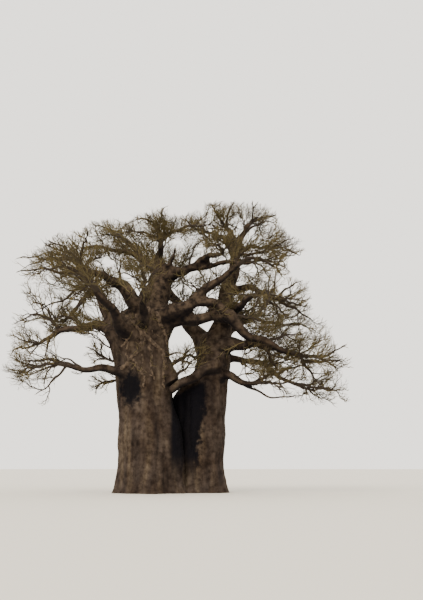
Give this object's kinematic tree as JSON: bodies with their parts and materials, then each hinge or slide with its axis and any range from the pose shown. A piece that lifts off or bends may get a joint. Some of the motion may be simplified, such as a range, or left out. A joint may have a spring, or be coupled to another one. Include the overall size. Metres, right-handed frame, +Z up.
{
  "type": "bare baobab tree",
  "caption": "Bare baobab tree: stout stems fused at the foot, thick spreading boughs and a wide crown of crooked twigs, cut flat at the ground.",
  "frame": {"origin": "on the ground under the trunks, on the flat cut, a little right of the left trunk's middle", "axes": "+Z up the trunks, +X to the right and +Y to the back as the tree is seen in the picture"},
  "size_m": [22.6301, 17.9628, 18.9361],
  "materials": {
    "bark": "rough folded grey-brown bark",
    "twig_bark": "dull olive-brown twig bark"
  },
  "bodies": {
    "root": {"left_trunk": "bark", "right_trunk": "bark", "bough_left_stem": "bark", "bough_left_low": "bark", "bough_left_mid": "bark", "bough_left_high": "bark", "bough_left_cross": "bark", "bough_left_droop": "bark", "bough_top_left": "bark", "bough_top_mid": "bark", "bough_over_limb": "bark", "bough_over_high": "bark", "bough_left_stub": "bark", "bough_long_right": "bark", "bough_arch": "bark", "bough_right_long": "bark", "bough_right_stem": "bark", "bough_back_cross": "bark", "bough_top_right_a": "bark", "bough_top_right_b": "bark", "bough_top_right_c": "bark", "bough_right_upper": "bark", "bough_right_mid": "bark", "bough_right_thin": "bark", "bough_right_low": "bark", "bough_right_bottom": "bark", "bough_right_trail": "bark", "bough_cleft": "bark", "bough_front_left": "bark", "bough_front_mid": "bark", "bough_front_right": "bark", "bough_back_left": "bark", "bough_back_right": "bark", "twigs_left_low": "twig_bark", "twigs_left_mid": "twig_bark", "twigs_left_droop": "twig_bark", "twigs_left_high": "twig_bark", "twigs_left_cross": "twig_bark", "twigs_top_left": "twig_bark", "twigs_top_mid": "twig_bark", "twigs_over_high": "twig_bark", "twigs_top_right_c": "twig_bark", "twigs_top_right_a": "twig_bark", "twigs_top_right_b": "twig_bark", "twigs_right_upper": "twig_bark", "twigs_long_right": "twig_bark", "twigs_right_mid": "twig_bark", "twigs_right_thin": "twig_bark", "twigs_right_long": "twig_bark", "twigs_right_low": "twig_bark", "twigs_right_bottom": "twig_bark", "twigs_cleft": "twig_bark", "twigs_back_cross": "twig_bark", "twigs_front_left": "twig_bark", "twigs_front_mid": "twig_bark", "twigs_front_right": "twig_bark", "twigs_back_left": "twig_bark", "twigs_back_right": "twig_bark", "twigs_tuft_low": "twig_bark", "twigs_tuft_side": "twig_bark"}
  },
  "joints": []
}
